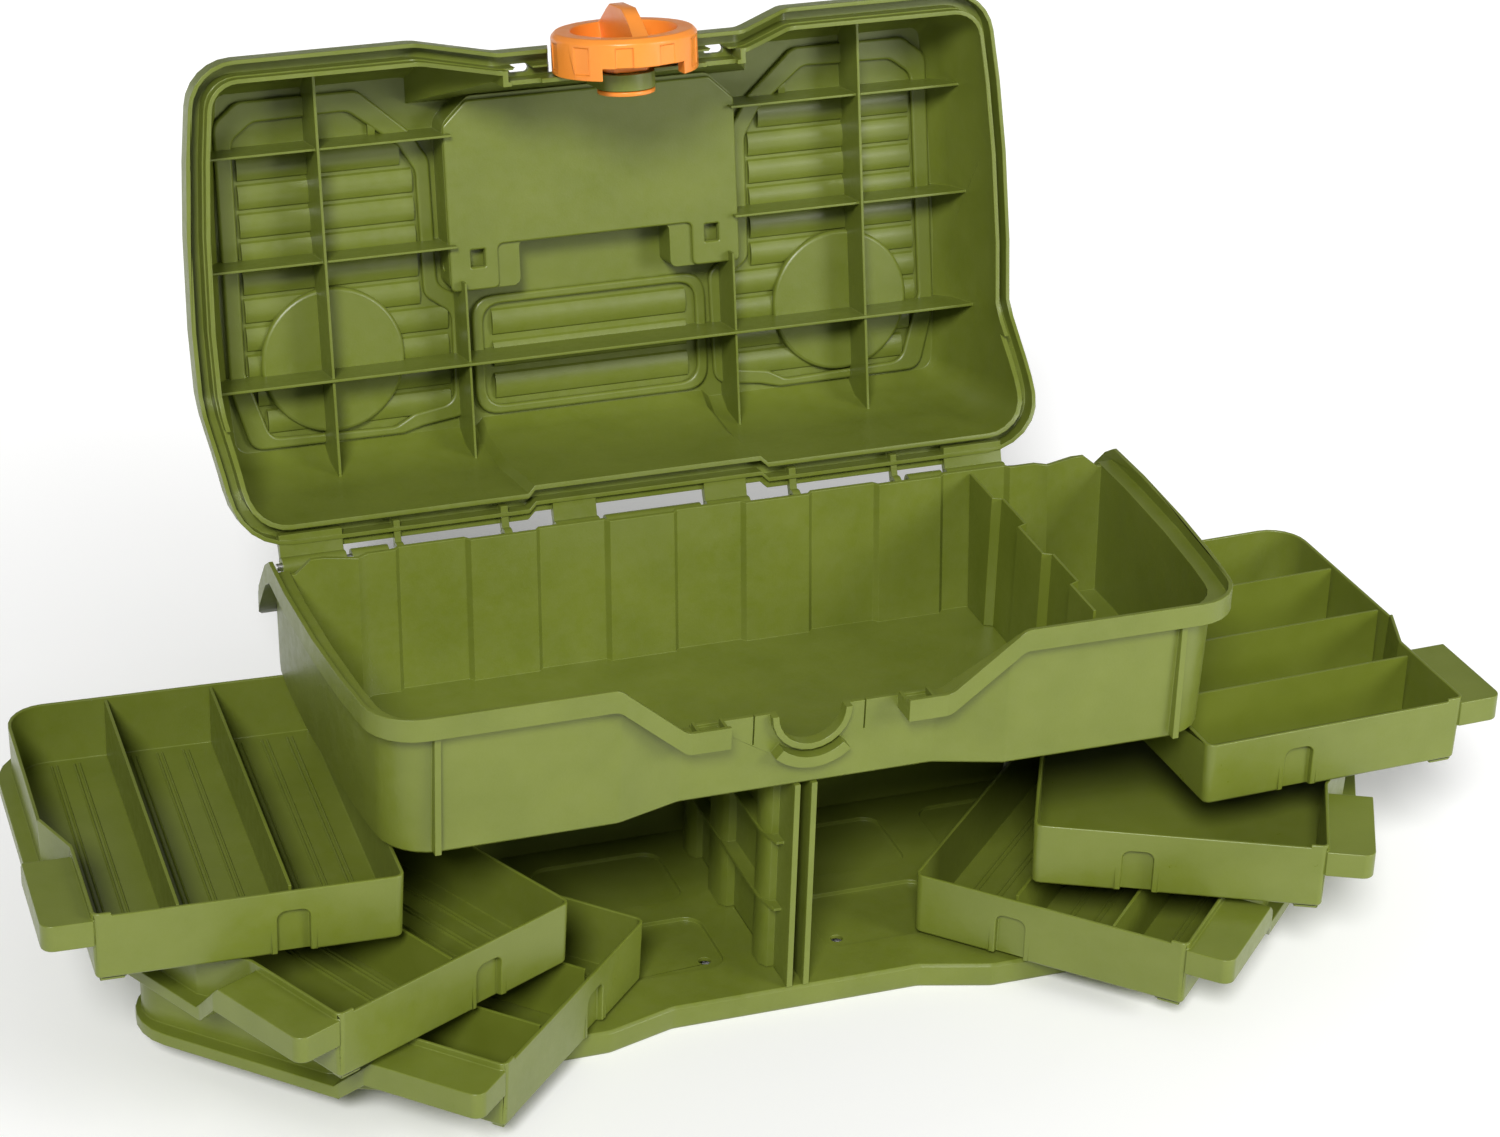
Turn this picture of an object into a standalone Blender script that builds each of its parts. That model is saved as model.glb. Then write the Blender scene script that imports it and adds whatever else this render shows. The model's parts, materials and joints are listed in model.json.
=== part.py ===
"""Six-tray cantilever tackle box, shown open: lid up, three trays swung out on each side.

The frame is +X to the right, +Y to the rear and +Z up, with the origin in the middle of the
underside. Every piece is modelled where it sits with the box closed. Then the lid, the knob
and the trays are turned about their own joints to the open pose.
"""

import math

import bmesh
import bpy
from mathutils import Matrix, Vector

# ---------------------------------------------------------------- driving dimensions (metres)
GAP = 0.0003                 # clearance between touching pieces
WALL = 0.0024                # general wall thickness of the mouldings
STEP_ANGLE = 14.0            # degrees turned by each straight piece of a rounded corner

# plan of the body: half widths where it is widest, and front and rear planes
BARREL_MIDDLE = 0.010        # the sides bulge and are widest at this plane
BARREL = 2.034               # twice the radius of the bulge
RIM_SIDE = 0.2325            # outside of the rim band
RIM_WING = -0.131            # rim band, front, outer parts
RIM_RECESS = -0.127          # rim band, front, middle part
LID_REAR = 0.1175
DECK_REAR = 0.1145
WALL_SIDE = 0.2245           # outside of the deck wall, at its top
WALL_WING = -0.1236
WALL_RECESS = -0.1125
WALL_REAR = 0.1065
WALL_TAPER = 0.0022          # how far the deck wall comes in towards its bottom
WING_START = 0.101           # the wings begin this far from the middle
RECESS_END = 0.0665          # the recess ends this far from the middle
FRONT_RADIUS = 0.026
LID_REAR_RADIUS = 0.032
DECK_REAR_RADIUS = 0.044
REAR_STEP = 0.064            # half width of the shallow step in the rear rim
REAR_STEP_DEPTH = 0.004

# heights of the body
BASE_TOP = 0.0135
DECK_BOTTOM = 0.133
DECK_FLOOR = 0.136
RIM_TOP = 0.213              # rim along the sides and the wings
RIM_LOW = 0.181              # rim in the middle of the front
RIM_BACK = 0.166             # rim round the rear
CENTRE_TOP = 0.176           # deck wall behind the knob
DIP_LOW_END = 0.0683         # the front rim starts to rise here
DIP_HIGH_END = 0.1046        # and reaches its full height here
DROP_START = 0.044           # the side rim starts to drop here (Y)
DROP_END = 0.108             # and ends here
DROP_STEPS = 7
BAND_HEIGHT = 0.012
LIP_WALL = 0.0023            # thickness of the outer lips of deck and lid
LEDGE_DROP = 0.0065          # ledge inside the deck's lip, below the lip's top
LIP_DROP = 0.006             # how far the lid's wall reaches down inside the deck's lip
LID_INSET = 0.0082           # the lid's wall stands this far inside its outer lip
LID_CHANNEL = 0.0100         # height of the channel between the lid's wall and lip
REAR_LIP = 0.0042            # a small lip along the lid's rear edge stands out this far
MOUTH = 0.0462               # half width of the gap in the rim behind the knob
CLIP_OUTER = 0.0620          # outer end of the two clip boxes beside it

# central column and rear housing
COLUMN_INNER = 0.0033
COLUMN_OUTER = 0.0056
COLUMN_FRONT = -0.1100
BAY_REAR = 0.0503            # front face of the rear housing
HOUSING_SIDE = 0.183
HOUSING_SIDE_REAR = 0.200
HOUSING_STEP = 0.0845        # the housing widens behind this plane
HOUSING_REAR = 0.1040

# hinge of the lid
HINGE_Y = 0.128
HINGE_Z = 0.164
HINGE_RADIUS = 0.0050
ROD_RADIUS = 0.0022
LID_ANGLE = 101.5            # degrees that the lid stands open
LID_TOP = 0.266
SLOPE_START_Z = 0.1935       # the middle of the front leans back from here
SLOPE_END = -0.0925          # to this plane at the lid's top

# knob
KNOB_Z = 0.176
KNOB_BACK = -0.1133
KNOB_DEPTH = 0.0215
KNOB_RADIUS = 0.0385
KNOB_INNER = 0.0305
KNOB_PANELS = 10             # shallow grip panels round the knob
NOTCH_RADIUS = 0.0175
COLLAR_RADIUS = 0.0210
COLLAR_DEPTH = 0.0030
TONGUE_RADIUS = 0.0155
SHAFT_RADIUS = 0.0080
CATCH_INNER = 0.0235
CATCH_OUTER = 0.0295
CATCH_DEPTH = 0.0062
CATCH_SPREAD = 42            # degrees either way
RETAINER_BACK = -0.1012

# carrying handle, folded into the top of the lid
HANDLE_Y = -0.0010           # its pivot, with the lid closed
HANDLE_Z = 0.2550
HANDLE_HALF = 0.0050         # half its thickness
HANDLE_PIN = 0.0026
HANDLE_BLOCK_LOW = 0.2450

# trays
PIVOT_X = 0.1955
PIVOT_Y = 0.0499
PIVOT_ROD = 0.0030
HUB_RADIUS = 0.0066
TRAY_HEIGHT = 0.0350
TRAY_TOPS = {"bottom": 0.0508, "middle": 0.0901, "top": 0.1294}
TRAY_ANGLES = {"bottom": 45.0, "middle": 64.0, "top": 92.4}
TRAY_WALL = 0.0018
TRAY_FLOOR = 0.0018
TRAY_DRAFT = 0.0010          # the walls lean in this far from rim to floor
NOTCH_BACK = 0.0206          # inner face of the box that the arched notch is cut into
NOTCH_FRONT = -0.0225
NOTCH_REAR = -0.0005
TRAY_INNER = 0.0145          # side next to the column
TRAY_OUTER = 0.2215
TRAY_REAR = 0.0426
TRAY_WING = -0.1180
TRAY_RECESS = -0.1070
TRAY_WING_START = 0.107
TRAY_RECESS_END = 0.0785
TRAY_RAISE = 0.0016          # extra height of the wall behind the tray's handle
PULL_FRONT = -0.1305
PULL_TOP = -0.0020         # heights of the fascia below the tray's top edge
PULL_LOW = -0.0160
LIP_FRONT = -0.1250
LIP_SIDE = 0.2243
LIP_TOP = -0.0262
LIP_LOW = -0.0330
DIVIDER = 0.0016
DIVIDER_DROP = 0.0006        # the dividers end this far below the tray's edge

GREEN = (0.245, 0.305, 0.085, 1.0)
ORANGE = (0.92, 0.33, 0.055, 1.0)
STEEL = (0.55, 0.56, 0.58, 1.0)

SIDES = {"left": -1.0, "right": 1.0}


# ---------------------------------------------------------------- outlines
def rounded(points, radii):
    """Closed outline through points, each corner turned into an arc of its own radius."""
    outline = []
    count = len(points)
    for index, (point, radius) in enumerate(zip(points, radii)):
        corner = Vector(point)
        before = (Vector(points[index - 1]) - corner).normalized()
        after = (Vector(points[(index + 1) % count]) - corner).normalized()
        if radius == 0:
            outline.append(tuple(corner))
            continue
        half = before.angle(after) / 2
        reach = radius / math.tan(half)
        centre = corner + (before + after).normalized() * radius / math.sin(half)
        start = corner + before * reach - centre
        end = corner + after * reach - centre
        turn = start.angle_signed(end)
        steps = max(2, round(abs(math.degrees(turn)) / STEP_ANGLE))
        for step in range(steps + 1):
            angle = -turn * step / steps
            spoke = Matrix.Rotation(angle, 2) @ start
            outline.append(tuple(centre + spoke))
    return outline


def inset(outline, distance):
    """The outline moved inwards by distance; outlines run anticlockwise."""
    moved = []
    count = len(outline)
    for index, point in enumerate(outline):
        here = Vector(point)
        back = (here - Vector(outline[index - 1])).normalized()
        ahead = (Vector(outline[(index + 1) % count]) - here).normalized()
        normal_back = Vector((-back.y, back.x))
        normal_ahead = Vector((-ahead.y, ahead.x))
        bisector = (normal_back + normal_ahead).normalized()
        moved.append(tuple(here + bisector * distance / bisector.dot(normal_ahead)))
    return moved


def half_width(widest, y):
    """Half width of the barrel-shaped body at a plane across it."""
    return widest - (y - BARREL_MIDDLE) ** 2 / BARREL


def body_outline(side, wing, recess, rear, front_radius, rear_radius, step_depth=REAR_STEP_DEPTH):
    """Plan of the deck, rim and lid: recessed in the middle of the front and stepped at the rear."""
    right = [(RECESS_END, recess), (WING_START, wing), (half_width(side, wing), wing)]
    right += [(half_width(side, y), y) for y in (-0.080, -0.040, 0.010, 0.055)]
    right.append((half_width(side, rear), rear))
    radii = [0.008, 0.008, front_radius, 0, 0, 0, 0, rear_radius]
    if step_depth:
        right += [(REAR_STEP + step_depth, rear), (REAR_STEP, rear - step_depth)]
        radii += [0, 0]
    left = [(-x, y) for x, y in reversed(right)]
    return rounded(right + left, radii + radii[::-1])


def lid_outline(distance):
    """Plan of the lid's rim, moved inwards by distance."""
    return body_outline(RIM_SIDE - distance, RIM_WING + distance, RIM_RECESS + distance, LID_REAR - distance,
                        max(FRONT_RADIUS - distance, 0.005), max(LID_REAR_RADIUS - distance, 0.008))


def deck_outline(distance):
    """Plan of the deck's rim, moved inwards by distance."""
    return body_outline(RIM_SIDE - distance, RIM_WING + distance, RIM_RECESS + distance, DECK_REAR - distance,
                        FRONT_RADIUS - distance, DECK_REAR_RADIUS - distance)


def wall_outline(taper):
    """Plan of the deck's wall; taper brings it in."""
    return body_outline(WALL_SIDE - taper, WALL_WING + taper, WALL_RECESS + taper, WALL_REAR - taper / 2,
                        FRONT_RADIUS, 0.036, step_depth=0)


def tray_outline():
    """Plan of a right-hand tray with the box closed."""
    points = [(TRAY_INNER, TRAY_RECESS), (TRAY_RECESS_END, TRAY_RECESS), (TRAY_WING_START, TRAY_WING),
              (TRAY_OUTER, TRAY_WING), (TRAY_OUTER, TRAY_REAR), (TRAY_INNER, TRAY_REAR)]
    return rounded(points, [0.004, 0.006, 0.006, 0.020, 0.005, 0.005])


def circle(radius, steps=24, centre=(0.0, 0.0)):
    """Closed round outline."""
    turns = [2 * math.pi * step / steps for step in range(steps)]
    return [(centre[0] + radius * math.cos(a), centre[1] + radius * math.sin(a)) for a in turns]


def box_outline(low_u, high_u, low_v, high_v):
    return [(low_u, low_v), (high_u, low_v), (high_u, high_v), (low_u, high_v)]


# ---------------------------------------------------------------- solids
def mesh_object(name, mesh):
    solid = bpy.data.objects.new(name, mesh)
    bpy.context.scene.collection.objects.link(solid)
    return solid


def clean(solid):
    """Weld the vertices of a solid, join its flat neighbours and turn its faces outwards."""
    work = bmesh.new()
    work.from_mesh(solid.data)
    bmesh.ops.remove_doubles(work, verts=work.verts, dist=0.00001)
    bmesh.ops.dissolve_degenerate(work, edges=work.edges, dist=0.000001)
    bmesh.ops.dissolve_limit(work, verts=work.verts, edges=work.edges, angle_limit=0.0005)
    bmesh.ops.recalc_face_normals(work, faces=work.faces)
    work.to_mesh(solid.data)
    work.free()
    return solid


def prism(outline, low, high, axis="Z"):
    """Extrude a flat outline from low to high along an axis.

    The outline is drawn in XY for the Z axis, in XZ for the Y axis and in YZ for the X axis.
    """
    curve = bpy.data.curves.new("outline", "CURVE")
    curve.dimensions = "2D"
    curve.fill_mode = "BOTH"
    curve.extrude = (high - low) / 2
    spline = curve.splines.new("POLY")
    spline.points.add(len(outline) - 1)
    for point, (u, v) in zip(spline.points, outline):
        point.co = (u, v, 0, 1)
    spline.use_cyclic_u = True
    drawn = bpy.data.objects.new("outline", curve)
    bpy.context.scene.collection.objects.link(drawn)
    bpy.context.view_layer.update()
    ready = drawn.evaluated_get(bpy.context.evaluated_depsgraph_get())
    solid = mesh_object("prism", bpy.data.meshes.new_from_object(ready))
    bpy.data.objects.remove(drawn)
    middle = (low + high) / 2
    columns = {"Z": ((1, 0, 0), (0, 1, 0), (0, 0, 1)),
               "Y": ((1, 0, 0), (0, 0, 1), (0, 1, 0)),
               "X": ((0, 1, 0), (0, 0, 1), (1, 0, 0))}[axis]
    turn = Matrix(columns).transposed().to_4x4()
    solid.data.transform(turn @ Matrix.Translation((0, 0, middle)))
    return clean(solid)


def box(low_x, high_x, low_y, high_y, low_z, high_z):
    return prism(box_outline(low_x, high_x, low_y, high_y), low_z, high_z)


def ring(outer, inner, low, high):
    """Wall between two outlines."""
    return cut(prism(outer, low, high), prism(inner, low - 0.01, high + 0.01))


def cylinder(radius, low, high, centre, axis="Z", steps=24):
    return prism(circle(radius, steps, centre), low, high, axis)


def loft(sections):
    """Solid through outlines of equal length; sections are (height, outline) from low to high."""
    work = bmesh.new()
    rings = [[work.verts.new((x, y, height)) for x, y in outline] for height, outline in sections]
    for lower, upper in zip(rings, rings[1:]):
        count = len(lower)
        for index in range(count):
            follow = (index + 1) % count
            work.faces.new((lower[index], lower[follow], upper[follow], upper[index]))
    work.faces.new(reversed(rings[0]))
    work.faces.new(rings[-1])
    mesh = bpy.data.meshes.new("loft")
    work.to_mesh(mesh)
    work.free()
    return clean(mesh_object("loft", mesh))


def combine(solid, tool, operation):
    """Boolean of two solids; the tool is used up."""
    modifier = solid.modifiers.new("combine", "BOOLEAN")
    modifier.operation = operation
    modifier.solver = "EXACT"
    modifier.object = tool
    bpy.context.view_layer.update()
    ready = solid.evaluated_get(bpy.context.evaluated_depsgraph_get())
    result = bpy.data.meshes.new_from_object(ready)
    solid.modifiers.clear()
    solid.data = result
    bpy.data.objects.remove(tool)
    return clean(solid)


def cut(solid, *tools):
    for tool in tools:
        combine(solid, tool, "DIFFERENCE")
    return solid


def add(solid, *tools):
    for tool in tools:
        combine(solid, tool, "UNION")
    return solid


def keep(solid, tool):
    return combine(solid, tool, "INTERSECT")


def mirrored(solid):
    """Copy of a solid reflected in the middle plane."""
    twin = mesh_object(solid.name, solid.data.copy())
    twin.data.transform(Matrix.Scale(-1, 4, (1, 0, 0)))
    return clean(twin)


def both_sides(solid):
    """A solid of one side and its reflection."""
    return solid, mirrored(solid)


def material(name, colour, roughness, metallic=0.0):
    surface = bpy.data.materials.new(name)
    surface.use_nodes = True
    shader = surface.node_tree.nodes["Principled BSDF"]
    shader.inputs["Base Color"].default_value = colour
    shader.inputs["Roughness"].default_value = roughness
    shader.inputs["Metallic"].default_value = metallic
    return surface


def finish(name, solid, colour=GREEN, roughness=0.42, metallic=0.0, origin=(0, 0, 0)):
    """Name a finished piece, give it its material and put its origin on its joint."""
    solid.name = name
    solid.data.name = name
    solid.data.materials.clear()
    solid.data.materials.append(material(name, colour, roughness, metallic))
    solid.data.transform(Matrix.Translation(-Vector(origin)))
    solid.location = origin
    bpy.context.scene.collection.objects.unlink(solid)
    bpy.data.collections["tackle_box"].objects.link(solid)
    return solid


# ---------------------------------------------------------------- rim profile
def rim_space(shift):
    """Everything below the rim line, moved up by shift."""
    reach = 0.3
    side = [(-reach, -0.1), (reach, -0.1), (reach, RIM_BACK + shift)]
    for step in range(DROP_STEPS, -1, -1):
        share = step / DROP_STEPS
        height = (1 + math.cos(math.pi * share ** 0.75)) / 2
        side.append((DROP_START + (DROP_END - DROP_START) * share,
                     RIM_BACK + (RIM_TOP - RIM_BACK) * height + shift))
    side.append((-reach, RIM_TOP + shift))
    space = prism(side, -reach, reach, "X")
    dip = [(-DIP_HIGH_END, RIM_TOP), (-DIP_LOW_END, RIM_LOW), (DIP_LOW_END, RIM_LOW), (DIP_HIGH_END, RIM_TOP),
           (0.14, RIM_TOP + 0.0004), (0.14, 0.3), (-0.14, 0.3), (-0.14, RIM_TOP + 0.0004)]
    dip = [(x, z + shift) for x, z in rounded(dip, [0.008] * 4 + [0] * 4)]
    return cut(space, prism(dip, -0.2, -0.095, "Y"))


def rear_space(shift):
    """The rear part of the space below the rim line."""
    return keep(rim_space(shift), box(-0.3, 0.3, 0.060, 0.3, 0.0, 0.4))


# ---------------------------------------------------------------- fixed pieces
def base_plate():
    """Floor of the tray bay, hollow underneath, with recessed panels and drain holes."""
    points = [(RECESS_END, -0.111), (0.103, -0.122), (0.224, -0.122), (0.224, 0.066),
              (HOUSING_SIDE_REAR, HOUSING_STEP + 0.003), (HOUSING_SIDE_REAR, 0.110)]
    radii = [0.010, 0.014, 0.026, 0.012, 0.004, 0.016]
    outline = rounded(points + [(-x, y) for x, y in reversed(points)], radii + radii[::-1])
    plate = loft([(0.0, inset(outline, 0.0015)), (0.0025, outline), (BASE_TOP - 0.0015, outline),
                  (BASE_TOP, inset(outline, 0.0015))])
    for low_x, high_x in ((0.0240, 0.0720), (0.0745, 0.1455), (0.1480, 0.1940)):
        for low_y, high_y in ((-0.1040, -0.0360), (-0.0335, 0.0370), (0.0395, 0.1010)):
            cut(plate, *both_sides(box(low_x, high_x, low_y, high_y, -0.01, BASE_TOP - 0.0045)))
    for x in (0.027, 0.122):
        for y in (-0.082, -0.015):
            panel = [(x, y), (x + 0.072, y), (x + 0.072, y + 0.050), (x, y + 0.050)]
            cut(plate, *both_sides(prism(rounded(panel, [0.010] * 4), BASE_TOP - 0.0022, 0.02)))
        cut(plate, *both_sides(cylinder(0.0032, -0.01, 0.03, (x + 0.0092, -0.0715))))
    for side in SIDES.values():
        centre = (side * PIVOT_X, PIVOT_Y)
        cut(plate, cylinder(PIVOT_ROD + GAP, 0.004, 0.03, centre))
    return finish("base_plate", plate)


def rear_housing():
    """Walls of the rear compartment; its front wall closes the back of the tray bay."""
    points = [(HOUSING_SIDE, BAY_REAR), (HOUSING_SIDE, HOUSING_STEP),
              (HOUSING_SIDE_REAR - 0.002, HOUSING_STEP), (HOUSING_SIDE_REAR - 0.002, HOUSING_REAR)]
    radii = [0.004, 0.003, 0.003, 0.016]
    outline = rounded(points + [(-x, y) for x, y in reversed(points)], radii + radii[::-1])
    walls = ring(outline, inset(outline, WALL), BASE_TOP + GAP, DECK_BOTTOM - GAP)
    return finish("rear_housing", walls)


def column(side_name):
    """One of the two upright panels in the middle, with ledges between the tray levels."""
    low = BASE_TOP + GAP
    high = DECK_BOTTOM - GAP
    rear = BAY_REAR - GAP
    panel = box(COLUMN_INNER, COLUMN_OUTER, COLUMN_FRONT, rear, low, high)
    add(panel, box(COLUMN_INNER - 0.0004, COLUMN_OUTER + 0.0004, COLUMN_FRONT - 0.0008,
                   COLUMN_FRONT + 0.0040, low, high))
    for start, end, outer in ((-0.090, -0.072, 0.0122), (-0.030, -0.006, 0.0128), (0.020, 0.036, 0.0122)):
        shape = [(COLUMN_OUTER - 0.001, start), (outer - 0.003, start), (outer, start + 0.004),
                 (outer, end - 0.004), (outer - 0.003, end), (COLUMN_OUTER - 0.001, end)]
        add(panel, prism(shape, low + 0.0001, high - 0.0001))
    for level in ("bottom", "middle"):
        ledge = [(COLUMN_OUTER - 0.001, -0.098), (0.0095, -0.098), (0.0132, -0.084), (0.0132, 0.045),
                 (COLUMN_OUTER - 0.001, 0.045)]
        height = TRAY_TOPS[level] + 0.0013
        add(panel, prism(ledge, height, height + 0.0016))
    if SIDES[side_name] < 0:
        twin = mirrored(panel)
        bpy.data.objects.remove(panel)
        panel = twin
    return finish("column_" + side_name, panel)


def corrugated_line(front, end):
    """Plan of the corrugated wall, whose flat panels step to and fro and wave at both ends."""
    pitch = 0.037
    edge = 0.0012
    depth = 0.0026
    right = []
    for number in range(5):
        stop = pitch * (number + 0.5)
        near, far = (front, front - depth) if number % 2 == 0 else (front - depth, front)
        right += [(stop - edge, near), (stop + edge, far)]
    panel = front - depth
    right += [(0.182, panel), (0.188, panel - 0.0035), (0.204, panel + 0.0015), (end, panel + 0.0015)]
    line = [(-x, y) for x, y in reversed(right)] + right
    return line + [(x, y + WALL) for x, y in reversed(line)]


def corrugated_wall():
    """Rear wall of the deck's main compartment; it leans back towards its top."""
    wall = loft([(DECK_BOTTOM + 0.001, corrugated_line(0.0330, 0.2200)),
                 (RIM_TOP, corrugated_line(0.0412, 0.2222))])
    shelf = RIM_TOP - LEDGE_DROP - GAP
    shoulder = [(0.2110, RIM_TOP), (0.2190, shelf), (0.2300, shelf), (0.2300, RIM_TOP + 0.01),
                (0.2110, RIM_TOP + 0.01)]
    return cut(wall, *both_sides(prism(shoulder, 0.0, 0.08, "Y")))


def rim_band():
    """Band round the top of the deck: an outer lip with a ledge inside it."""
    band = ring(deck_outline(0.0), inset(wall_outline(0.0), 0.0012), 0.10, RIM_TOP + 0.01)
    cut(band, rim_space(-BAND_HEIGHT))
    keep(band, rim_space(0.0))
    groove = prism(deck_outline(LIP_WALL), 0.10, 0.30)
    cut(groove, rim_space(-LEDGE_DROP))
    cut(band, groove, box(-MOUTH, MOUTH, -0.2, -0.09, 0.1, 0.3))
    front = RIM_RECESS + LIP_WALL
    pocket_back = WALL_RECESS - 0.0012
    cut(band, *both_sides(box(MOUTH + 0.0015, CLIP_OUTER - 0.0015, front, pocket_back, 0.1705, 0.3)))
    for start in (MOUTH, CLIP_OUTER - 0.0015):
        add(band, *both_sides(box(start, start + 0.0015, front - 0.0003, pocket_back + 0.0020,
                                  RIM_LOW - LEDGE_DROP - 0.0010, RIM_LOW - 0.0025)))
    return band


def deck():
    """Upper tub: main compartment, rear well and the rim that the lid closes on."""
    outer_low = wall_outline(WALL_TAPER)
    outer_high = wall_outline(0.0)
    tub = loft([(DECK_BOTTOM, inset(outer_low, 0.0014)), (DECK_BOTTOM + 0.0014, outer_low),
                (RIM_TOP, outer_high)])
    cut(tub, loft([(DECK_FLOOR, inset(outer_low, WALL)), (RIM_TOP + 0.002, inset(outer_high, WALL))]))
    space = rim_space(-LEDGE_DROP)
    add(space, box(-CLIP_OUTER, CLIP_OUTER, -0.2, -0.1000, 0.1, CENTRE_TOP))
    keep(tub, space)
    add(tub, corrugated_wall(), rim_band())
    add(tub, *both_sides(box(0.1915, 0.1948, WALL_WING - 0.0030, WALL_WING + 0.0030,
                             DECK_BOTTOM + 0.0020, RIM_TOP - BAND_HEIGHT + 0.002)))
    add(tub, notch_arc(COLLAR_RADIUS, NOTCH_RADIUS - 0.001, 90, COLLAR_DEPTH))
    cut(tub, cylinder(NOTCH_RADIUS, -0.2, -0.09, (0, CENTRE_TOP), "Y", 32))
    cut(tub, *both_sides(box(0.0287, 0.0295, -0.2, -0.09, 0.1597, 0.3)))
    add(tub, notch_arc(CATCH_OUTER, CATCH_INNER, CATCH_SPREAD, CATCH_DEPTH))
    cut(tub, box(-0.176, 0.176, 0.0560, 0.1000, 0.12, DECK_FLOOR + 0.001))
    for side in SIDES.values():
        cut(tub, cylinder(PIVOT_ROD + GAP, 0.12, DECK_FLOOR + 0.010, (side * PIVOT_X, PIVOT_Y)))
    for low, high in ((-0.0270, 0.0270), (0.1475, 0.1675), (-0.1675, -0.1475)):
        add(tub, knuckle(low, high, on_lid=False))
    cut(tub, cylinder(ROD_RADIUS + GAP, -0.3, 0.3, (HINGE_Y, HINGE_Z), "X", 12))
    return finish("deck", tub)


def notch_arc(outer, inner, spread, depth):
    """Curved ledge under the notch, as wide as spread degrees either way."""
    steps = 12
    angles = [math.radians(-90 - spread + 2 * spread * step / steps) for step in range(steps + 1)]
    lower = [(outer * math.cos(a), KNOB_Z + outer * math.sin(a)) for a in angles]
    upper = [(inner * math.cos(a), KNOB_Z + inner * math.sin(a)) for a in reversed(angles)]
    return prism(lower + upper, WALL_RECESS - depth, WALL_RECESS + 0.0030, "Y")


def knuckle(low, high, on_lid):
    """Hinge eye between two X positions with the web that joins it to the rim or the lid."""
    eye = cylinder(HINGE_RADIUS, low, high, (HINGE_Y, HINGE_Z), "X", 16)
    if on_lid:
        low_edge = RIM_BACK + 0.0008
        high_edge = RIM_BACK + 0.0062
        root = LID_REAR - 0.0058
        web = [(LID_REAR - 0.0015, low_edge), (HINGE_Y, HINGE_Z + 0.0010), (HINGE_Y, HINGE_Z + 0.0048),
               (LID_REAR - 0.0015, high_edge), (root, high_edge), (root, low_edge)]
    else:
        web = [(0.1080, RIM_BACK - 0.0115), (0.1200, RIM_BACK - 0.0120), (HINGE_Y + 0.0030, HINGE_Z - 0.0040),
               (HINGE_Y, HINGE_Z - 0.0008), (0.1195, HINGE_Z - 0.0040), (0.1080, HINGE_Z - 0.0040)]
    return add(eye, prism(web, low + 0.0002, high - 0.0002, "X"))


def deck_divider():
    """Lift-out partition of the main compartment: a sheet that steps to and fro."""
    sections = []
    for height, rear_end in ((DECK_FLOOR + GAP, 0.0325), (RIM_TOP - 0.0015, 0.0405)):
        stops = (rear_end, 0.0095, -0.0220, -0.0555, -0.0880, -0.1185)
        line = []
        for number, (rear, front) in enumerate(zip(stops, stops[1:])):
            x = 0.1455 + 0.0046 * (number % 2)
            line += [(x, rear - 0.0011 * (number > 0)), (x, front + 0.0011 * (number < 4))]
        back = [(x + DIVIDER, y) for x, y in reversed(line)]
        sections.append((height, back + line))
    return finish("deck_divider", loft(sections))


def pivot_rod(side_name):
    """Steel rod that the three trays of one side turn on."""
    centre = (SIDES[side_name] * PIVOT_X, PIVOT_Y)
    rod = cylinder(PIVOT_ROD, 0.0044, DECK_FLOOR + 0.0040, centre, steps=20)
    return finish("pivot_rod_" + side_name, rod, STEEL, 0.3, 1.0)


def hinge_rod():
    rod = cylinder(ROD_RADIUS, -0.2080, 0.2080, (HINGE_Y, HINGE_Z), "X", 12)
    return finish("hinge_rod", rod, STEEL, 0.3, 1.0)


# ---------------------------------------------------------------- lid
def lid_form(depth):
    """Outer form of the closed lid as one full solid, made smaller all round by depth."""
    profile = [(0.1400, LID_INSET), (0.2220, 0.0090), (0.2550, 0.0160), (0.2630, 0.0190), (LID_TOP, 0.0235)]
    return loft([(height - depth, lid_outline(distance + depth)) for height, distance in profile])


def slope_space(shift):
    """Space before the middle of the lid's front, which leans back above the knob."""
    back = WALL_RECESS + shift
    top = SLOPE_END + shift
    side = [(-0.3, 0.1), (back, 0.1), (back, SLOPE_START_Z), (top, LID_TOP), (top, 0.3), (-0.3, 0.3)]
    return prism(side, -0.2, 0.2, "X")


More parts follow.
